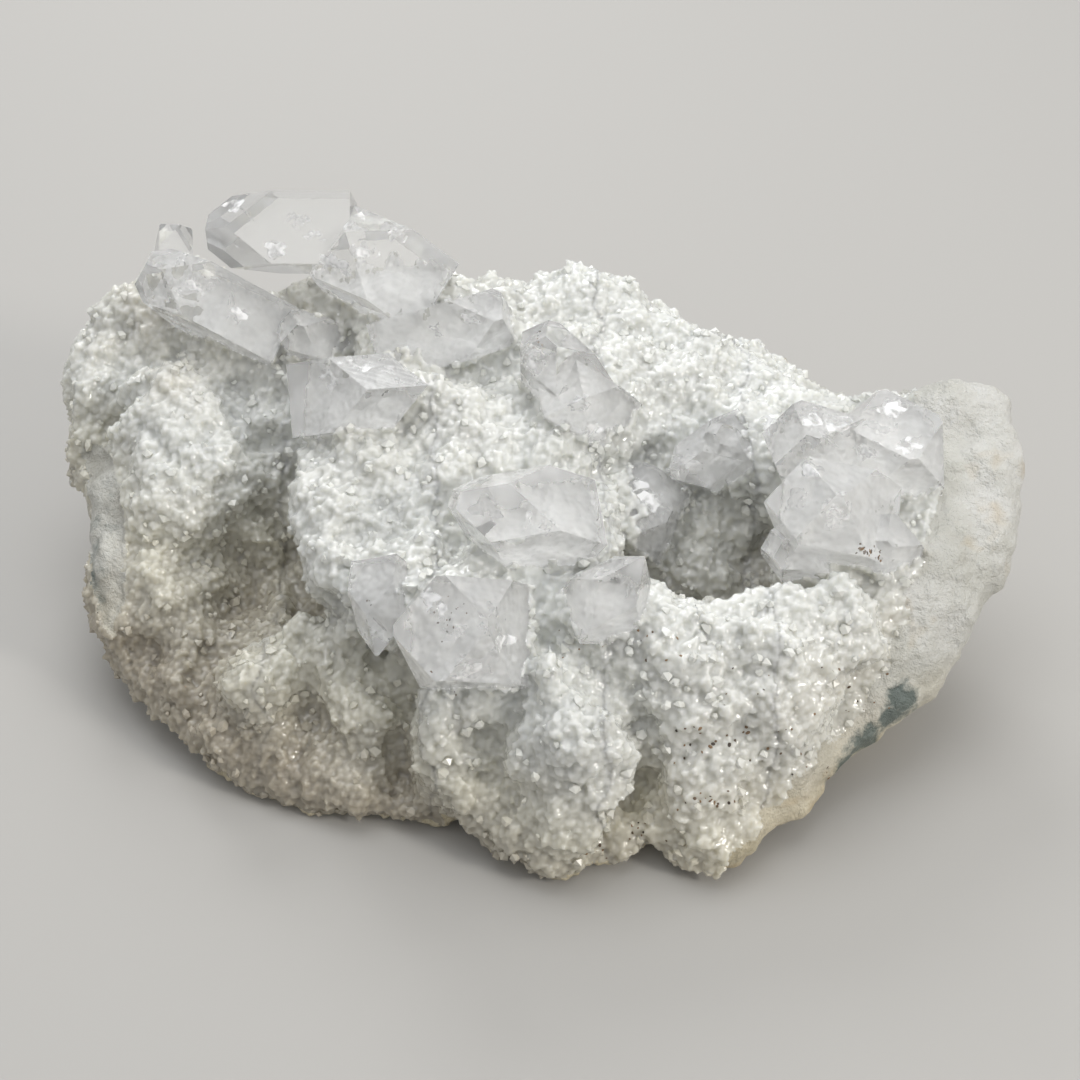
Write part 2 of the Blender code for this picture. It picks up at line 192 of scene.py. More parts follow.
# Dark specks: (across, down, spread) in pixels, how many, their size and how deep in a crystal (mm).
SPECKS = (
    (655, 645, 12, 8, 0.20, 0), (700, 735, 14, 12, 0.24, 0), (748, 748, 12, 8, 0.24, 0), (636, 832, 10, 8, 0.22, 0),
    (706, 806, 12, 10, 0.24, 0), (596, 858, 8, 5, 0.2, 0), (582, 650, 12, 5, 0.16, 0), (690, 780, 22, 10, 0.18, 0),
    (760, 690, 26, 8, 0.16, 0), (446, 690, 10, 3, 0.16, 0), (860, 700, 30, 10, 0.18, 0), (820, 760, 20, 8, 0.2, 0),
    (448, 622, 9, 12, 0.13, 1.6), (466, 606, 5, 4, 0.12, 1.6), (541, 341, 4, 6, 0.16, 1.4), (873, 552, 7, 6, 0.2, 0.6),
    (862, 549, 2, 6, 0.2, 0.1), (870, 552, 2, 7, 0.2, 0.1), (879, 556, 2, 6, 0.2, 0.1), (369, 601, 2, 4, 0.14, 0.5),
)


def link(obj):
    bpy.context.scene.collection.objects.link(obj)
    return obj


def shaded(obj, smooth):
    obj.data.polygons.foreach_set("use_smooth", [smooth] * len(obj.data.polygons))


def applied(obj):
    """Puts the evaluated mesh in place of the object's own, and drops its modifiers."""
    graph = bpy.context.evaluated_depsgraph_get()
    mesh = bpy.data.meshes.new_from_object(obj.evaluated_get(graph))
    old = obj.data
    obj.modifiers.clear()
    obj.data = mesh
    bpy.data.meshes.remove(old)
    return obj


def tree_of(obj):
    return BVHTree.FromObject(obj, bpy.context.evaluated_depsgraph_get())


class Shader:
    """A material whose nodes are made and joined by name."""

    def __init__(self, name):
        self.material = bpy.data.materials.new(name)
        self.material.use_nodes = True
        self.nodes = self.material.node_tree.nodes
        self.links = self.material.node_tree.links
        self.surface = self.nodes["Principled BSDF"]

    def node(self, kind, settings=(), **inputs):
        made = self.nodes.new(kind)
        for key, value in dict(settings).items():
            setattr(made, key, value)
        self.fill(made, inputs)
        return made

    def fill(self, node, inputs):
        for key, value in inputs.items():
            socket = node.inputs[int(key[1:])] if key[1:].isdigit() else node.inputs[key.replace("_", " ")]
            if isinstance(value, bpy.types.NodeSocket):
                self.links.new(value, socket)
            else:
                socket.default_value = value

    def place(self):
        """The object's own coordinates, in metres."""
        return self.node("ShaderNodeTexCoord").outputs["Object"]

    def noise(self, scale, detail=3, rough=0.55, vector=None):
        made = self.node(
            "ShaderNodeTexNoise", Vector=vector or self.place(), Scale=scale, Detail=detail, Roughness=rough
        )
        return made.outputs["Fac"]

    def ramp(self, factor, *stops):
        """A colour ramp through (position, colour) stops."""
        made = self.node("ShaderNodeValToRGB", Fac=factor)
        ramp = made.color_ramp
        while len(ramp.elements) < len(stops):
            ramp.elements.new(0.5)
        for element, (position, colour) in zip(ramp.elements, stops):
            element.position = position
            element.color = (*colour, 1) if len(colour) == 3 else colour
        return made.outputs["Color"]

    def mix(self, factor, one, two, blend="MIX"):
        made = self.node("ShaderNodeMix", dict(data_type="RGBA", blend_type=blend))
        self.fill(made, {"_0": factor, "_6": one, "_7": two})
        return made.outputs[2]

    def maths(self, operation, one, two=0.0, clamp=False):
        made = self.node("ShaderNodeMath", dict(operation=operation, use_clamp=clamp))
        self.fill(made, {"_0": one, "_1": two})
        return made.outputs[0]

    def bump(self, height, distance, strength=1.0):
        made = self.node("ShaderNodeBump", Height=height, Distance=distance, Strength=strength)
        self.fill(self.surface, {"Normal": made.outputs["Normal"]})


def grey(value):
    return (value, value, value)


def stains_and_painted_shade(shader, clean, patchy):
    """Clean quartz with painted shade, darker and warmer low down and towards the left, and the cream and brown stains
    of the low right edge.
    """
    place = shader.node("ShaderNodeSeparateXYZ", Vector=shader.place())
    rightward = shader.maths("MULTIPLY_ADD", place.outputs["X"], 14.0)
    rightward.node.inputs[2].default_value = -0.05
    low = shader.maths("MULTIPLY_ADD", place.outputs["Z"], -26.0)
    low.node.inputs[2].default_value = 0.95
    where = shader.maths("MULTIPLY", shader.maths("MULTIPLY", rightward, low, clamp=True), patchy)
    stain = shader.ramp(patchy, (0.40, (0.78, 0.70, 0.52)), (0.66, (0.58, 0.46, 0.28)))
    # Painted shade: darker and warmer low down and towards the left, where the quartz lies in shade.
    height = shader.maths("MULTIPLY_ADD", place.outputs["Z"], 38.0)
    shader.links.new(shader.maths("MULTIPLY", place.outputs["X"], 8.0), height.node.inputs[2])
    painted_low_shade = shader.ramp(
        height, (0.0, (0.56, 0.50, 0.42)), (0.45, (0.92, 0.885, 0.80)), (0.9, (1.0, 1.0, 1.0))
    )
    clean_with_painted_shade = shader.mix(1.0, clean, painted_low_shade, "MULTIPLY")
    return shader.mix(shader.maths("MULTIPLY", where, 1.6, clamp=True), clean_with_painted_shade, stain)


def druse_material():
    """The points of the small quartz crystals, which catch the light."""
    shader = Shader("quartz_points")
    each = shader.node("ShaderNodeNewGeometry").outputs["Random Per Island"]
    clean = shader.ramp(each, (0.0, (0.64, 0.645, 0.61)), (1.0, (0.78, 0.785, 0.75)))
    rough = shader.ramp(each, (0.0, grey(0.08)), (0.6, grey(0.28)), (1.0, grey(0.12)))
    colour = stains_and_painted_shade(shader, clean, shader.noise(90, 2))
    shader.fill(shader.surface, {"Base Color": colour, "Roughness": rough, "IOR": 1.545})
    return shader.material


def skin_material():
    """The milky quartz of the druse."""
    shader = Shader("quartz_druse")
    patchy = shader.noise(90, 2)
    clean = shader.ramp(patchy, (0.35, (0.61, 0.615, 0.585)), (0.65, (0.70, 0.71, 0.68)))
    shader.fill(shader.surface, {
        "Base Color": stains_and_painted_shade(shader, clean, patchy), "Roughness": 0.14, "IOR": 1.545,
        "Subsurface Weight": 1.0, "Subsurface Scale": 0.0026, "Subsurface Radius": (1.0, 0.98, 0.9),
    })
    return shader.material


def painted_light_covered_material():
    """The quartz that the apophyllite has grown on, seen through it: painted near-white, painted light that stands in
    for the light the crystals keep from it.
    """
    shader = Shader("quartz_covered_painted_light")
    cloud_and_painted_light = shader.ramp(shader.noise(200, 2), (0.36, (0.90, 0.90, 0.89)), (0.60, (0.985, 0.985, 0.975)))
    shader.fill(shader.surface, {"Base Color": cloud_and_painted_light, "Roughness": 0.6, "IOR": 1.545})
    return shader.material


def broken_material():
    """The broken faces: massive quartz, cream and grey, with green-black rock left on in places."""
    shader = Shader("quartz_broken")
    body = shader.ramp(
        shader.noise(60, 3, 0.6),
        (0.30, (0.44, 0.425, 0.375)), (0.46, (0.54, 0.535, 0.49)), (0.64, (0.62, 0.615, 0.585)),
    )
    fine = shader.noise(230, 5, 0.72)
    iron = shader.ramp(shader.noise(85, 3, 0.62), (0.55, grey(0)), (0.72, grey(0.7)))
    rightward = shader.maths("MULTIPLY_ADD", shader.node(
        "ShaderNodeSeparateXYZ", Vector=shader.place()
    ).outputs["X"], 30.0, clamp=True)
    rightward.node.inputs[2].default_value = 0.25
    warm = shader.mix(shader.maths("MULTIPLY", iron, rightward), body, (0.50, 0.40, 0.25, 1))
    rock = shader.ramp(shader.noise(40, 5, 0.70), (0.61, grey(0)), (0.70, grey(0.75)))
    for across, down, height, radius in GREEN_SPOTS:
        away = shader.node("ShaderNodeVectorMath", dict(operation="DISTANCE"), _0=shader.place())
        away.inputs[1].default_value = seen_at(across, down, height)
        ragged = shader.maths("MULTIPLY_ADD", away.outputs["Value"], 0.5 / (radius * MM))
        shader.links.new(fine, ragged.node.inputs[2])
        spot = shader.ramp(ragged, (0.72, grey(0.85)), (0.92, grey(0)))
        rock = shader.mix(1.0, rock, spot, "LIGHTEN")
    height = shader.maths("MULTIPLY", shader.node(
        "ShaderNodeSeparateXYZ", Vector=shader.place()
    ).outputs["Z"], 40.0)
    low = shader.ramp(height, (0.25, (1.0, 0.90, 0.70)), (0.85, (1.0, 1.0, 1.0)))
    colour = shader.mix(rock, shader.mix(1.0, warm, low, "MULTIPLY"), (0.055, 0.090, 0.085, 1))
    shader.fill(shader.surface, {
        "Base Color": colour, "IOR": 1.545, "Roughness": 0.42,
        "Subsurface Weight": 0.25, "Subsurface Scale": 0.0012, "Subsurface Radius": (1.0, 0.95, 0.85),
    })
    shader.bump(fine, 0.0018, 1.0)
    return shader.material


def apophyllite_material(name, axis, clear):
    """Clear apophyllite. Its growth lines run along the crystal's axis."""
    shader = Shader(name)
    turned = shader.node("ShaderNodeMapping", dict(vector_type="TEXTURE"), Vector=shader.place())
    turned.inputs["Rotation"].default_value = axis.to_track_quat("Z", "X").to_euler()
    stretched = shader.node("ShaderNodeMapping", Vector=turned.outputs[0])
    stretched.inputs["Scale"].default_value = (1, 1, 0.08)
    lines = shader.noise(1500, 1, vector=stretched.outputs[0])
    shader.fill(shader.surface, {
        "Base Color": (1.0, 1.0, 0.99, 1), "IOR": 1.535, "Transmission Weight": clear,
        "Roughness": 0.01,
    })
    shader.bump(lines, 0.00006, 0.35)
    return shader.material


def edge_highlight_material():
    """The bevelled edges of the apophyllite, painted white and nearly opaque: painted highlights."""
    shader = Shader("apophyllite_edges_painted_highlight")
    shader.fill(shader.surface, {
        "Base Color": (1.0, 1.0, 1.0, 1), "IOR": 1.535, "Transmission Weight": 0.1, "Roughness": 0.2,
    })
    return shader.material


def pixel_of(point):
    """Where the photograph shows this point: across and down."""
    offset = point - EYE
    scale = VIEW_DISTANCE / -offset.dot(TOWARD) * PHOTO_SIDE / PHOTO_WIDTH
    return PHOTO_SIDE / 2 + offset.dot(RIGHT) * scale, PHOTO_SIDE / 2 - offset.dot(UP) * scale


def encloses(region, x, y):
    """Whether this ring of pixels goes round the pixel x, y."""
    odd = False
    for (a, b), (c, d) in zip(region, region[1:] + region[:1]):
        if (b > y) != (d > y) and x < a + (y - b) * (c - a) / (d - b):
            odd = not odd
    return odd


def is_bare(point, normal):
    """Whether the matrix is broken here, with no druse on it."""
    patchy = noise.noise(point / (9 * MM)) * 0.30
    if normal.dot(Vector((0, -0.80, 0.60))) < -0.18 + patchy:
        return True
    if normal.z < -0.55 + patchy:
        return True
    if normal.dot(TOWARD) < -0.4:
        return False
    x, y = pixel_of(point)
    sway = 14 * noise.noise(point / (5 * MM))
    return (x > 700 or x < 150) and any(encloses(region, x + sway, y + sway) for region in SMOOTH)


def relief(point, bare):
    """How far the skin stands out here."""
    out = noise.noise(point / SWELL[0]) * SWELL[1]
    if bare:
        for scale, height in BREAK:
            distances, _ = noise.voronoi(point / scale)
            out += (distances[1] - distances[0] - 0.35) * height
        return out
    for scale, height in LUMPS:
        distances, _ = noise.voronoi(point / scale)
        out += (0.45 - distances[0]) * 2 * height
    return out


def wall_patches(bm, apophyllite):
    """The walls of the crystals' sockets, as patches of joined faces."""
    left = set()
    for face in bm.faces:
        _, normal, _, distance = apophyllite.find_nearest(face.calc_center_median())
        if distance < 0.42 * MM and normal.dot(face.normal) < -0.6:
            left.add(face)
    while left:
        patch, front = set(), [left.pop()]
        while front:
            face = front.pop()
            patch.add(face)
            beside = {other for edge in face.edges for other in edge.link_faces} & left
            left -= beside
            front.extend(beside)
        yield patch


def without_sockets(mesh, apophyllite):
    """The matrix's mesh with a plug in each crystal's socket."""
    bm = bmesh.new()
    bm.from_mesh(mesh)
    bmesh.ops.remove_doubles(bm, verts=bm.verts, dist=0.001 * MM)
    plugs = []
    for patch in wall_patches(bm, apophyllite):
        plugs.append([vertex.co - 0.5 * MM * vertex.normal for face in patch for vertex in face.verts])
    for across, down, height, radius in FILLS:
        place = Matrix.Translation(seen_at(across, down, height))
        bmesh.ops.create_icosphere(bm, subdivisions=3, radius=radius * MM, matrix=place)
    for points in plugs:
        made = bmesh.ops.convex_hull(bm, input=[bm.verts.new(point) for point in points])
        faces = [item for item in made["geom"] if isinstance(item, bmesh.types.BMFace)]
        bmesh.ops.recalc_face_normals(bm, faces=faces)
        inner = {item for item in made["geom_interior"] if isinstance(item, bmesh.types.BMVert)}
        bmesh.ops.delete(bm, geom=list(inner), context="VERTS")
    closed = bpy.data.meshes.new("closed_matrix")
    bm.to_mesh(closed)
    bm.free()
    return closed


def stroke_lines(skin):
    """The strokes as lines of points in space, laid on the skin along the sight lines."""
    tree = tree_of(skin)
    lines = []
    for height, width, path in STROKES:
        points = []
        for (x, y), (u, v) in zip(path, path[1:]):
            for step in (0, 0.25, 0.5, 0.75, 1):
                hit = tree.ray_cast(EYE, sight_line(x + (u - x) * step, y + (v - y) * step))[0]
                if hit:
                    points.append(hit)
        lines.append((height * MM, width * MM, points))
    return lines


def struck(places, lines):
    """How far the strokes move the skin at each place."""
    out = np.zeros(len(places))
    for height, width, points in lines:
        nearest = np.min([np.linalg.norm(places - np.array(point), axis=1) for point in points], axis=0)
        out += height * np.clip(1 - (nearest / width) ** 2, 0, 1) ** 2
    return out


def make_skin(apophyllite):
    """The matrix's skin: the CAD's solid on a fine grid, its facets smoothed and its relief added."""
    closed = without_sockets(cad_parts["quartz_matrix"].data, apophyllite)
    skin = link(bpy.data.objects.new("quartz_matrix_skin", closed))
    remesh = skin.modifiers.new("grid", "REMESH")
    remesh.mode = "VOXEL"
    remesh.voxel_size = SKIN_VOXEL
    smooth = skin.modifiers.new("smooth", "SMOOTH")
    smooth.factor = 0.5
    smooth.iterations = 8
    applied(skin)
    mesh = skin.data
    places = [vertex.co.copy() for vertex in mesh.vertices]
    normals = [vertex.normal.copy() for vertex in mesh.vertices]
    bare = [is_bare(point, normal) for point, normal in zip(places, normals)]
    strokes = struck(np.array(places), stroke_lines(skin))
    moved = []
    for point, normal, is_broken, stroke in zip(places, normals, bare, strokes):
        out = relief(point, is_broken) + stroke
        if out > 0:
            out *= min(apophyllite.find_nearest(point)[3] / (3.5 * MM), 1)
        to = point + normal * out
        if point.z < 1.2 * MM:
            to.z = max(min(to.z, point.z), 0)
        moved.extend((to.x, to.y, max(to.z, 0)))
    mesh.vertices.foreach_set("co", moved)
    mesh.update()
    return skin, bare


def crystal_tree():
    """The surface of all the apophyllite, to tell what is inside it."""
    bm = bmesh.new()
    for name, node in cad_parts.items():
        if name != "quartz_matrix":
            bm.from_mesh(node.data)
    tree = BVHTree.FromBMesh(bm)
    bm.free()
    return tree


def inside(tree, point):
    hit, normal, _, _ = tree.find_nearest(point, 15 * MM)
    return hit is not None and (point - hit).dot(normal) < 0


def surface_points(mesh, rng, count):
    """Random points of a mesh, spread by area, with its normals there."""
    mesh.calc_loop_triangles()
    corners = np.empty(len(mesh.loop_triangles) * 3, np.int32)
    mesh.loop_triangles.foreach_get("vertices", corners)
    corners = corners.reshape(-1, 3)
    places = np.empty(len(mesh.vertices) * 3)
    mesh.vertices.foreach_get("co", places)
    normals = np.empty(len(mesh.vertices) * 3, np.float32)
    mesh.vertex_normals.foreach_get("vector", normals)
    triangles = places.reshape(-1, 3)[corners]
    area = np.linalg.norm(np.cross(triangles[:, 1] - triangles[:, 0], triangles[:, 2] - triangles[:, 0]), axis=1)
    chosen = rng.choice(len(triangles), count, p=area / area.sum())
    share = rng.dirichlet((1, 1, 1), count)[:, :, None]
    points = (triangles[chosen] * share).sum(axis=1)
    normals = (normals.reshape(-1, 3)[corners[chosen]] * share).sum(axis=1)
    return points, normals / np.linalg.norm(normals, axis=1)[:, None]


def spaced(points, radii):
    """The indices of the points that keep their distance, the largest first."""
    cell = 2 * GRAIN_RADIUS[1] * GRAIN_SPACING
    grid = {}
    kept = []
    for i in np.argsort(-radii):
        x, y, z = points[i]
        r = radii[i]
        key = (int(x // cell), int(y // cell), int(z // cell))
        near = (
            other
            for dx in (-1, 0, 1) for dy in (-1, 0, 1) for dz in (-1, 0, 1)
            for other in grid.get((key[0] + dx, key[1] + dy, key[2] + dz), ())
        )
        if all(
            (x - a) ** 2 + (y - b) ** 2 + (z - c) ** 2 > (GRAIN_SPACING * (r + s)) ** 2 for a, b, c, s in near
        ):
            grid.setdefault(key, []).append((x, y, z, r))
            kept.append(i)
    return kept


def quartz_points(rng, count, flare=1.0):
    """Small quartz crystals about the origin, as corners (count, 8, 3) of six-sided points, radius 1."""
    turn = np.arange(6) * math.pi / 3
    shape = np.zeros((count, 8, 3))
    shape[:, 1:7, 0] = np.cos(turn)
    shape[:, 1:7, 1] = np.sin(turn)
    shape[:, 1:7] *= flare * (1 + rng.uniform(-0.18, 0.18, (count, 6, 1)))
    shape[:, 1:7, 2] = rng.uniform(-0.1, 0.5, (count, 1)) + rng.uniform(-0.15, 0.15, (count, 6))
    shape[:, 0, 2] = shape[:, 1:7, 2].mean(axis=1) + rng.uniform(0.65, 1.0, count)
    shape[:, 0, :2] = rng.uniform(-0.25, 0.25, (count, 2))
    shape[:, 7, 2] = -1.6
    shape[:, :, :2] *= rng.uniform(0.82, 1.18, (count, 1, 2))
    return shape


QUARTZ_FACES = (
    [(0, 1 + i, 1 + (i + 1) % 6) for i in range(6)] + [(7, 1 + (i + 1) % 6, 1 + i) for i in range(6)]
)


def frames(directions, rng):
    """Rotation matrices (n, 3, 3) that turn Z to each direction, with a random turn about it."""
    helper = np.where(np.abs(directions[:, 2:]) < 0.9, (0, 0, 1), (1, 0, 0))
    x = np.cross(helper, directions)
    x /= np.linalg.norm(x, axis=1)[:, None]
    y = np.cross(directions, x)
    turn = rng.uniform(0, 2 * math.pi, (len(directions), 1))
    across = x * np.cos(turn) + y * np.sin(turn)
    return np.stack([across, np.cross(directions, across), directions], axis=2)


def quartz_mesh(name, points, normals, radii, rng, shape):
    """One mesh of small quartz crystals that stand on these points."""
    lean = normals + rng.normal(0, 0.30, normals.shape)
    lean /= np.linalg.norm(lean, axis=1)[:, None]
    corners = points[:, None] + np.einsum("nij,nkj->nki", frames(lean, rng), shape * radii[:, None, None])
    corners[:, :, 2] = np.maximum(corners[:, :, 2], 0)
    faces = [
        tuple(corner + 8 * i for corner in face) for i in range(len(points)) for face in QUARTZ_FACES
    ]
    mesh = bpy.data.meshes.new(name)
    mesh.from_pydata(corners.reshape(-1, 3).tolist(), [], faces)
    return mesh


def overgrowth(skin, rng):
    """Places low on the crystals, next to the skin, that the druse has grown over."""
    bm = bmesh.new()
    for name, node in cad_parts.items():
        if name != "quartz_matrix":
            bm.from_mesh(node.data)
    crystals = bpy.data.meshes.new("crystals")
    bm.to_mesh(crystals)
    bm.free()
    points, normals = surface_points(crystals, rng, OVERGROWTH_TRIES)
    bpy.data.meshes.remove(crystals)
    tree = tree_of(skin)
    kept = []
    for i, point in enumerate(points):
        point = Vector(point)
        hit, normal, _, distance = tree.find_nearest(point)
        reach = (1.3 + 1.9 * noise.noise(point / (2.6 * MM))) * MM
        if (point - hit).dot(normal) > 0 and distance < reach:
            kept.append(i)
    return points[kept], normals[kept]


def druse_places(skin, apophyllite, rng):
    """Where the small quartz crystals stand: points, normals and radii."""
    points, normals = surface_points(skin.data, rng, GRAIN_TRIES)
    good = [
        i for i, (point, normal) in enumerate(zip(points, normals))
        if point[2] > 1.0 * MM and not is_bare(Vector(point), Vector(normal))
        and not inside(apophyllite, Vector(point))
    ]
    points, normals = points[good], normals[good]
    over, over_normals = overgrowth(skin, rng)
    points, normals = np.concatenate((points, over)), np.concatenate((normals, over_normals))
    low, high = GRAIN_RADIUS
    radii = low + (high - low) * rng.random(len(points)) ** 1.8
    kept = spaced(points, radii)
    return points[kept], normals[kept], radii[kept]


def grown_together(skin, druse, bare):
    """The skin and its druse as one beaded surface on a fine grid, and where it is bare."""
    bm = bmesh.new()
    bm.from_mesh(skin.data)
    bm.from_mesh(druse)
    joined = bpy.data.meshes.new("joined")
    bm.to_mesh(joined)
    bm.free()
    obj = link(bpy.data.objects.new("joined", joined))
    remesh = obj.modifiers.new("grid", "REMESH")
    remesh.mode = "VOXEL"
    remesh.voxel_size = DRUSE_VOXEL
    applied(obj)
    mesh = obj.data
    places = array_of(mesh.vertices, "co", 3)
    normals = array_of(mesh.vertex_normals, "vector", 3, np.float32)
    beads = np.array([noise.voronoi(Vector(place) / BEADS[0])[0][0] for place in places])
    nearest = KDTree(len(skin.data.vertices))
    for i, vertex in enumerate(skin.data.vertices):
        nearest.insert(vertex.co, i)
    nearest.balance()
    broken = np.array([bare[nearest.find(place)[1]] for place in places])
    places += normals * ((0.42 - beads) * BEADS[1] * ~broken)[:, None]
    places[:, 2] = np.maximum(places[:, 2], 0)
    mesh.vertices.foreach_set("co", places.ravel())
    mesh.update()
    return obj, broken


def array_of(items, name, width, kind=np.float64):
    values = np.empty(len(items) * width, kind)
    items.foreach_get(name, values)
    return values.reshape(-1, width)


def matrix_pieces(whole, broken, apophyllite):
    """Splits the grown surface into pieces of a size that is easy to handle, with no seam to see."""
    mesh = whole.data
    places = array_of(mesh.vertices, "co", 3)
    normals = array_of(mesh.vertex_normals, "vector", 3, np.float32)
    corners = array_of(mesh.loops, "vertex_index", 1, np.int32).reshape(-1, 4)
    centres = places[corners].mean(axis=1)
    # Faces inside the crystals take the covered quartz, painted near-white as painted light.
    kinds = np.array([
        2 if inside(apophyllite, Vector(centre)) else int(is_broken)
        for centre, is_broken in zip(centres, broken[corners[:, 0]])
    ])
    count = math.ceil(2 * len(corners) / PIECE_TRIANGLES)
    sway = np.array([noise.noise(Vector(centre) / (6 * MM)) for centre in centres])
    order = centres[:, 0] + 2.5 * MM * sway
    edges = np.quantile(order, np.linspace(0, 1, count + 1))
    owner = np.clip(np.searchsorted(edges, order, side="right") - 1, 0, count - 1)
    materials = skin_material(), broken_material(), painted_light_covered_material()
    for i in range(count):
        used, faces = np.unique(corners[owner == i], return_inverse=True)
        made = bpy.data.meshes.new(f"quartz_matrix_{i + 1}")
        made.from_pydata(places[used].tolist(), [], faces.reshape(-1, 4).tolist())
        for material in materials:
            made.materials.append(material)
        made.polygons.foreach_set("material_index", kinds[owner == i])
        made.polygons.foreach_set("use_smooth", [True] * len(made.polygons))
        made.normals_split_custom_set_from_vertices(normals[used].tolist())
        piece = link(bpy.data.objects.new(made.name, made))
        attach(piece, "root")
        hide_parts("quartz_matrix")
        print("PIECE", piece.name, 2 * len(made.polygons))


def add_piece(mesh, slot, *materials):
    for material in materials:
        mesh.materials.append(material)
    piece = link(bpy.data.objects.new(mesh.name, mesh))
    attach(piece, "root")
    return piece


def make_matrix(apophyllite):
    """The grown surface, and the sharp points of its druse on it. Returns a tree of its surface."""
    rng = np.random.default_rng(SEED)
    skin, bare = make_skin(apophyllite)
    points, normals, radii = druse_places(skin, apophyllite, rng)
    shape = quartz_points(rng, len(points), flare=1.3)
    druse = quartz_mesh("druse", points, normals, radii * 0.95, rng, shape)
    whole, broken = grown_together(skin, druse, bare)
    matrix_pieces(whole, broken, apophyllite)
    tree = tree_of(whole)
    sharp = rng.random(len(points)) < POINT_SHARE
    points, normals, radii = points[sharp], normals[sharp], radii[sharp]
    points = points + normals * (radii * rng.uniform(0.15, 0.45, len(radii)))[:, None]
    material = druse_material()
    for i, part in enumerate(np.array_split(np.argsort(points[:, 0]), 2)):
        mesh = quartz_mesh(
            f"quartz_points_{i + 1}", points[part], normals[part], radii[part], rng, quartz_points(rng, len(part))
        )
        add_piece(mesh, "quartz", material)
        print("POINTS", len(part), 12 * len(part))
    for obj in (whole, skin):
        bpy.data.objects.remove(obj)
    return tree


def longest_axis(node):
    """The direction of a crystal group's longest edge."""
    mesh = node.data
    edge = max(mesh.edges, key=lambda e: (mesh.vertices[e.vertices[0]].co - mesh.vertices[e.vertices[1]].co).length)
    return (mesh.vertices[edge.vertices[0]].co - mesh.vertices[edge.vertices[1]].co).normalized()


def finish_crystals():
    """Gives the CAD's crystals their materials, and their edges a slight bevel painted white as highlights."""
    # The bevels are painted white: painted highlights along the edges.
    edges = edge_highlight_material()
    for name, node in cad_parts.items():
        if name == "quartz_matrix":
            continue
        node.data.materials.clear()
        clear = MILKY.get(name.removeprefix("apophyllite_"), 0.84)
        node.data.materials.append(apophyllite_material(name, longest_axis(node), clear))
        node.data.materials.append(edges)
        bevel = node.modifiers.new("painted_highlight_edges", "BEVEL")
        bevel.width = 0.17 * MM
        bevel.material = 1
        bevel.segments = 2
        bevel.limit_method = "ANGLE"
        bevel.angle_limit = math.radians(20)
        bevel.harden_normals = True
        shaded(node, False)


def fracture_and_highlight_material():
    """Fractures inside the crystals, thin, silvery and broken up, and the white patches on their faces that are
    painted highlights.
    """
    shader = Shader("fractures_and_painted_highlights")
    broken = shader.noise(340, 2, 0.6)
    shader.fill(shader.surface, {
        "Base Color": (1.0, 1.0, 1.0, 1), "Roughness": 0.22, "IOR": 1.535,
        "Alpha": shader.ramp(broken, (0.44, grey(0.0)), (0.60, grey(0.85))),
    })
    return shader.material


def speck_material():
    shader = Shader("specks")
    each = shader.node("ShaderNodeNewGeometry").outputs["Random Per Island"]
    shader.fill(shader.surface, {
        "Base Color": shader.ramp(each, (0.2, (0.06, 0.045, 0.035)), (0.8, (0.24, 0.15, 0.08))), "Roughness": 0.5,
    })
    return shader.material


def veil(bm, centre, normal, radius, rng):
    """A thin, warped, closed flake."""
    turn = Matrix.Translation(centre) @ normal.to_track_quat("Z", "Y").to_matrix().to_4x4()
    count = 16
    bend = rng.uniform(-0.12, 0.12, 2)
    wide = 1 + 0.30 * np.sin(np.arange(count) * rng.integers(2, 5) * 2 * math.pi / count + rng.uniform(0, 6))
    wide = wide * rng.uniform(0.75, 1.1, count)
    rings = [[], []]
    for share, ring in zip((0.55, 1.0), rings):
        for i in range(count):
            angle = 2 * math.pi * i / count
            x, y = math.cos(angle) * wide[i] * share, math.sin(angle) * wide[i] * share * 0.7
            z = bend[0] * x * x + bend[1] * y * y
            ring.append((x * radius, y * radius, z * radius))
    thick = 0.025 * MM
    rim = [bm.verts.new(turn @ Vector(place)) for place in rings[1]]
    for side in (1, -1):
        middle = bm.verts.new(turn @ Vector((0, 0, side * thick)))
        inner = [bm.verts.new(turn @ (Vector(place) + Vector((0, 0, side * thick)))) for place in rings[0]]
        for i in range(count):
            j = (i + 1) % count
            faces = [(middle, inner[i], inner[j]), (inner[i], rim[i], rim[j], inner[j])]
            for face in faces:
                bm.faces.new(face if side > 0 else face[::-1])


def drape(bm, first, apophyllite):
    """Lays a flake on the crystal's face, as a white patch that is a painted highlight."""
    bm.verts.ensure_lookup_table()
    flake = bm.verts[first:]
    nearest = [apophyllite.find_nearest(vertex.co) for vertex in flake]
    upper = len(flake) - 2 * 17
    for i, (vertex, (hit, normal, _, _)) in enumerate(zip(flake, nearest)):
        lift = 0.01 if i < upper else 0.04 if i < upper + 17 else -0.03
        vertex.co = hit + normal * lift * MM


def make_veils(apophyllite):
    """Fractures in the crystals, where the photograph shows them bright, with painted highlights as white patches on
    the faces.
    """
    rng = np.random.default_rng(SEED + 1)
    bm = bmesh.new()
    for across, down, depth, radius, facing in VEILS:
        hit = apophyllite.ray_cast(EYE, sight_line(across, down))[0]
        if not hit:
            print("VEIL MISSES", across, down)
            continue
        into = sight_line(across, down).normalized()
        normal = (facing * TOWARD + Vector(rng.normal(0, 0.45, 3))).normalized()
        veil(bm, hit + into * depth * MM, normal, radius * MM, rng)
        # A white patch on the face above: a painted highlight.
        if facing == 1:
            before = len(bm.verts)
            veil(bm, hit, apophyllite.find_nearest(hit)[1], radius * MM, rng)
            drape(bm, before, apophyllite)
    mesh = bpy.data.meshes.new("apophyllite_fractures_and_painted_highlights")
    bm.to_mesh(mesh)
    bm.free()
    add_piece(mesh, "apophyllite", fracture_and_highlight_material())


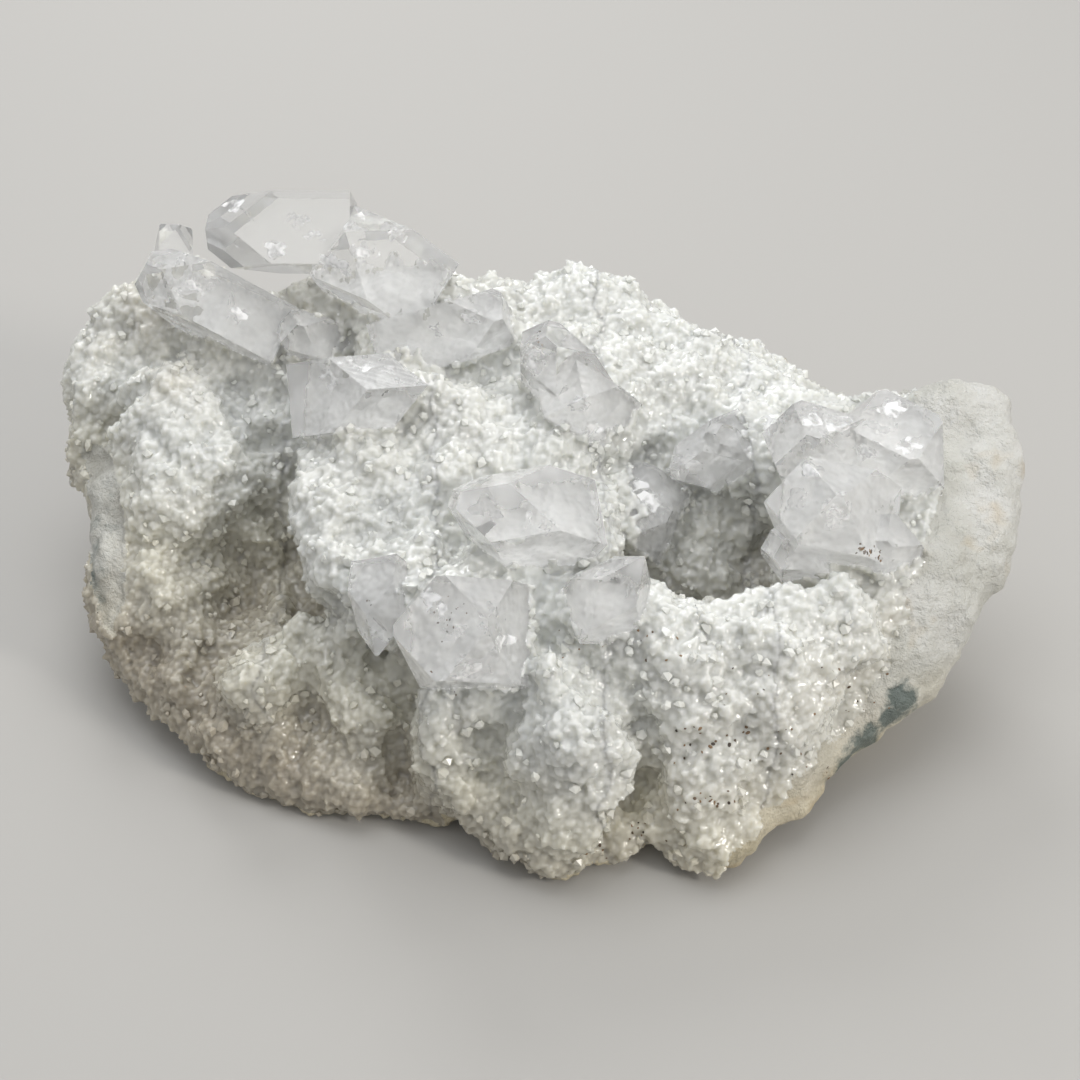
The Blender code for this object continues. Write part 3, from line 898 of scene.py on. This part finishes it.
def make_specks(matrix, apophyllite):
    """Dark specks: on the matrix, and inside two of the crystals."""
    rng = np.random.default_rng(SEED + 2)
    bm = bmesh.new()
    for across, down, spread, count, size, depth in SPECKS:
        for _ in range(count):
            at = sight_line(*rng.normal((across, down), spread))
            hit, normal, _, _ = (apophyllite if depth else matrix).ray_cast(EYE, at)
            if not hit:
                continue
            centre = hit + at.normalized() * depth * MM * rng.uniform(0.5, 1.2)
            radius = size * MM * rng.uniform(0.6, 1.3)
            shape = Matrix.Diagonal((radius * rng.uniform(0.6, 1.8), radius, radius * 0.5, 1))
            place = Matrix.Translation(centre) @ normal.to_track_quat("Z", "Y").to_matrix().to_4x4()
            turn = Matrix.Rotation(rng.uniform(0, 6), 4, "Z")
            bmesh.ops.create_icosphere(bm, subdivisions=1, radius=1, matrix=place @ turn @ shape)
    mesh = bpy.data.meshes.new("dark_specks")
    bm.to_mesh(mesh)
    bm.free()
    add_piece(mesh, "quartz", speck_material())


def make_stage():
    bm = bmesh.new()
    bmesh.ops.create_grid(bm, x_segments=1, y_segments=1, size=2)
    mesh = bpy.data.meshes.new("floor")
    bm.to_mesh(mesh)
    bm.free()
    floor = link(bpy.data.objects.new("floor", mesh))
    shader = Shader("floor")
    shader.fill(shader.surface, {"Base Color": (0.42, 0.41, 0.39, 1), "Roughness": 0.7})
    mesh.materials.append(shader.material)
    floor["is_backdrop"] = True


def lamp(name, place, size, power, colour):
    light = bpy.data.lights.new(name, "AREA")
    light.shape = "DISK"
    light.size = size
    light.energy = power
    light.color = colour
    obj = link(bpy.data.objects.new(name, light))
    obj.location = place
    obj.rotation_euler = (LOOK_AT - Vector(place)).to_track_quat("-Z", "Y").to_euler()


def make_lights():
    """A soft dome that is brighter overhead, a large lamp above and behind, and a warm one at the right."""
    lamp("sky", (-0.04, 0.12, 0.78), 0.6, 1.9, (0.99, 0.995, 1.0))
    lamp("back", (-0.12, 0.60, 0.52), 0.34, 2.0, (1.0, 1.0, 1.0))
    lamp("window", (0.62, -0.38, 0.42), 0.16, 2.6, (1.0, 0.965, 0.91))
    world = bpy.data.worlds.new("studio")
    world.use_nodes = True
    nodes, links = world.node_tree.nodes, world.node_tree.links
    direction = nodes.new("ShaderNodeTexCoord")
    height = nodes.new("ShaderNodeSeparateXYZ")
    ramp = nodes.new("ShaderNodeValToRGB")
    links.new(direction.outputs["Generated"], height.inputs[0])
    links.new(height.outputs["Z"], ramp.inputs["Fac"])
    links.new(ramp.outputs["Color"], nodes["Background"].inputs["Color"])
    ramp.color_ramp.elements[0].position = 0.0
    ramp.color_ramp.elements[0].color = (0.14, 0.135, 0.125, 1)
    ramp.color_ramp.elements[1].position = 0.9
    ramp.color_ramp.elements[1].color = (0.97, 0.98, 1.0, 1)
    nodes["Background"].inputs["Strength"].default_value = 0.92
    bpy.context.scene.world = world


def make_camera():
    camera = bpy.data.cameras.new("camera")
    camera.sensor_width = 36
    camera.lens = 36 * VIEW_DISTANCE / PHOTO_WIDTH
    camera.clip_start = 0.01
    obj = link(bpy.data.objects.new("camera", camera))
    obj.location = EYE
    obj.rotation_euler = (-TOWARD).to_track_quat("-Z", "Y").to_euler()
    bpy.context.scene.camera = obj


def main():
    apophyllite = crystal_tree()
    matrix = make_matrix(apophyllite)
    make_veils(apophyllite)
    make_specks(matrix, apophyllite)
    finish_crystals()
    make_stage()
    make_lights()
    make_camera()
    bpy.context.scene.view_settings.view_transform = "Standard"


main()

for corners in (CAD_BOX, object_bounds()):
    json.dumps([list(corner) for corner in corners]) + "\n"
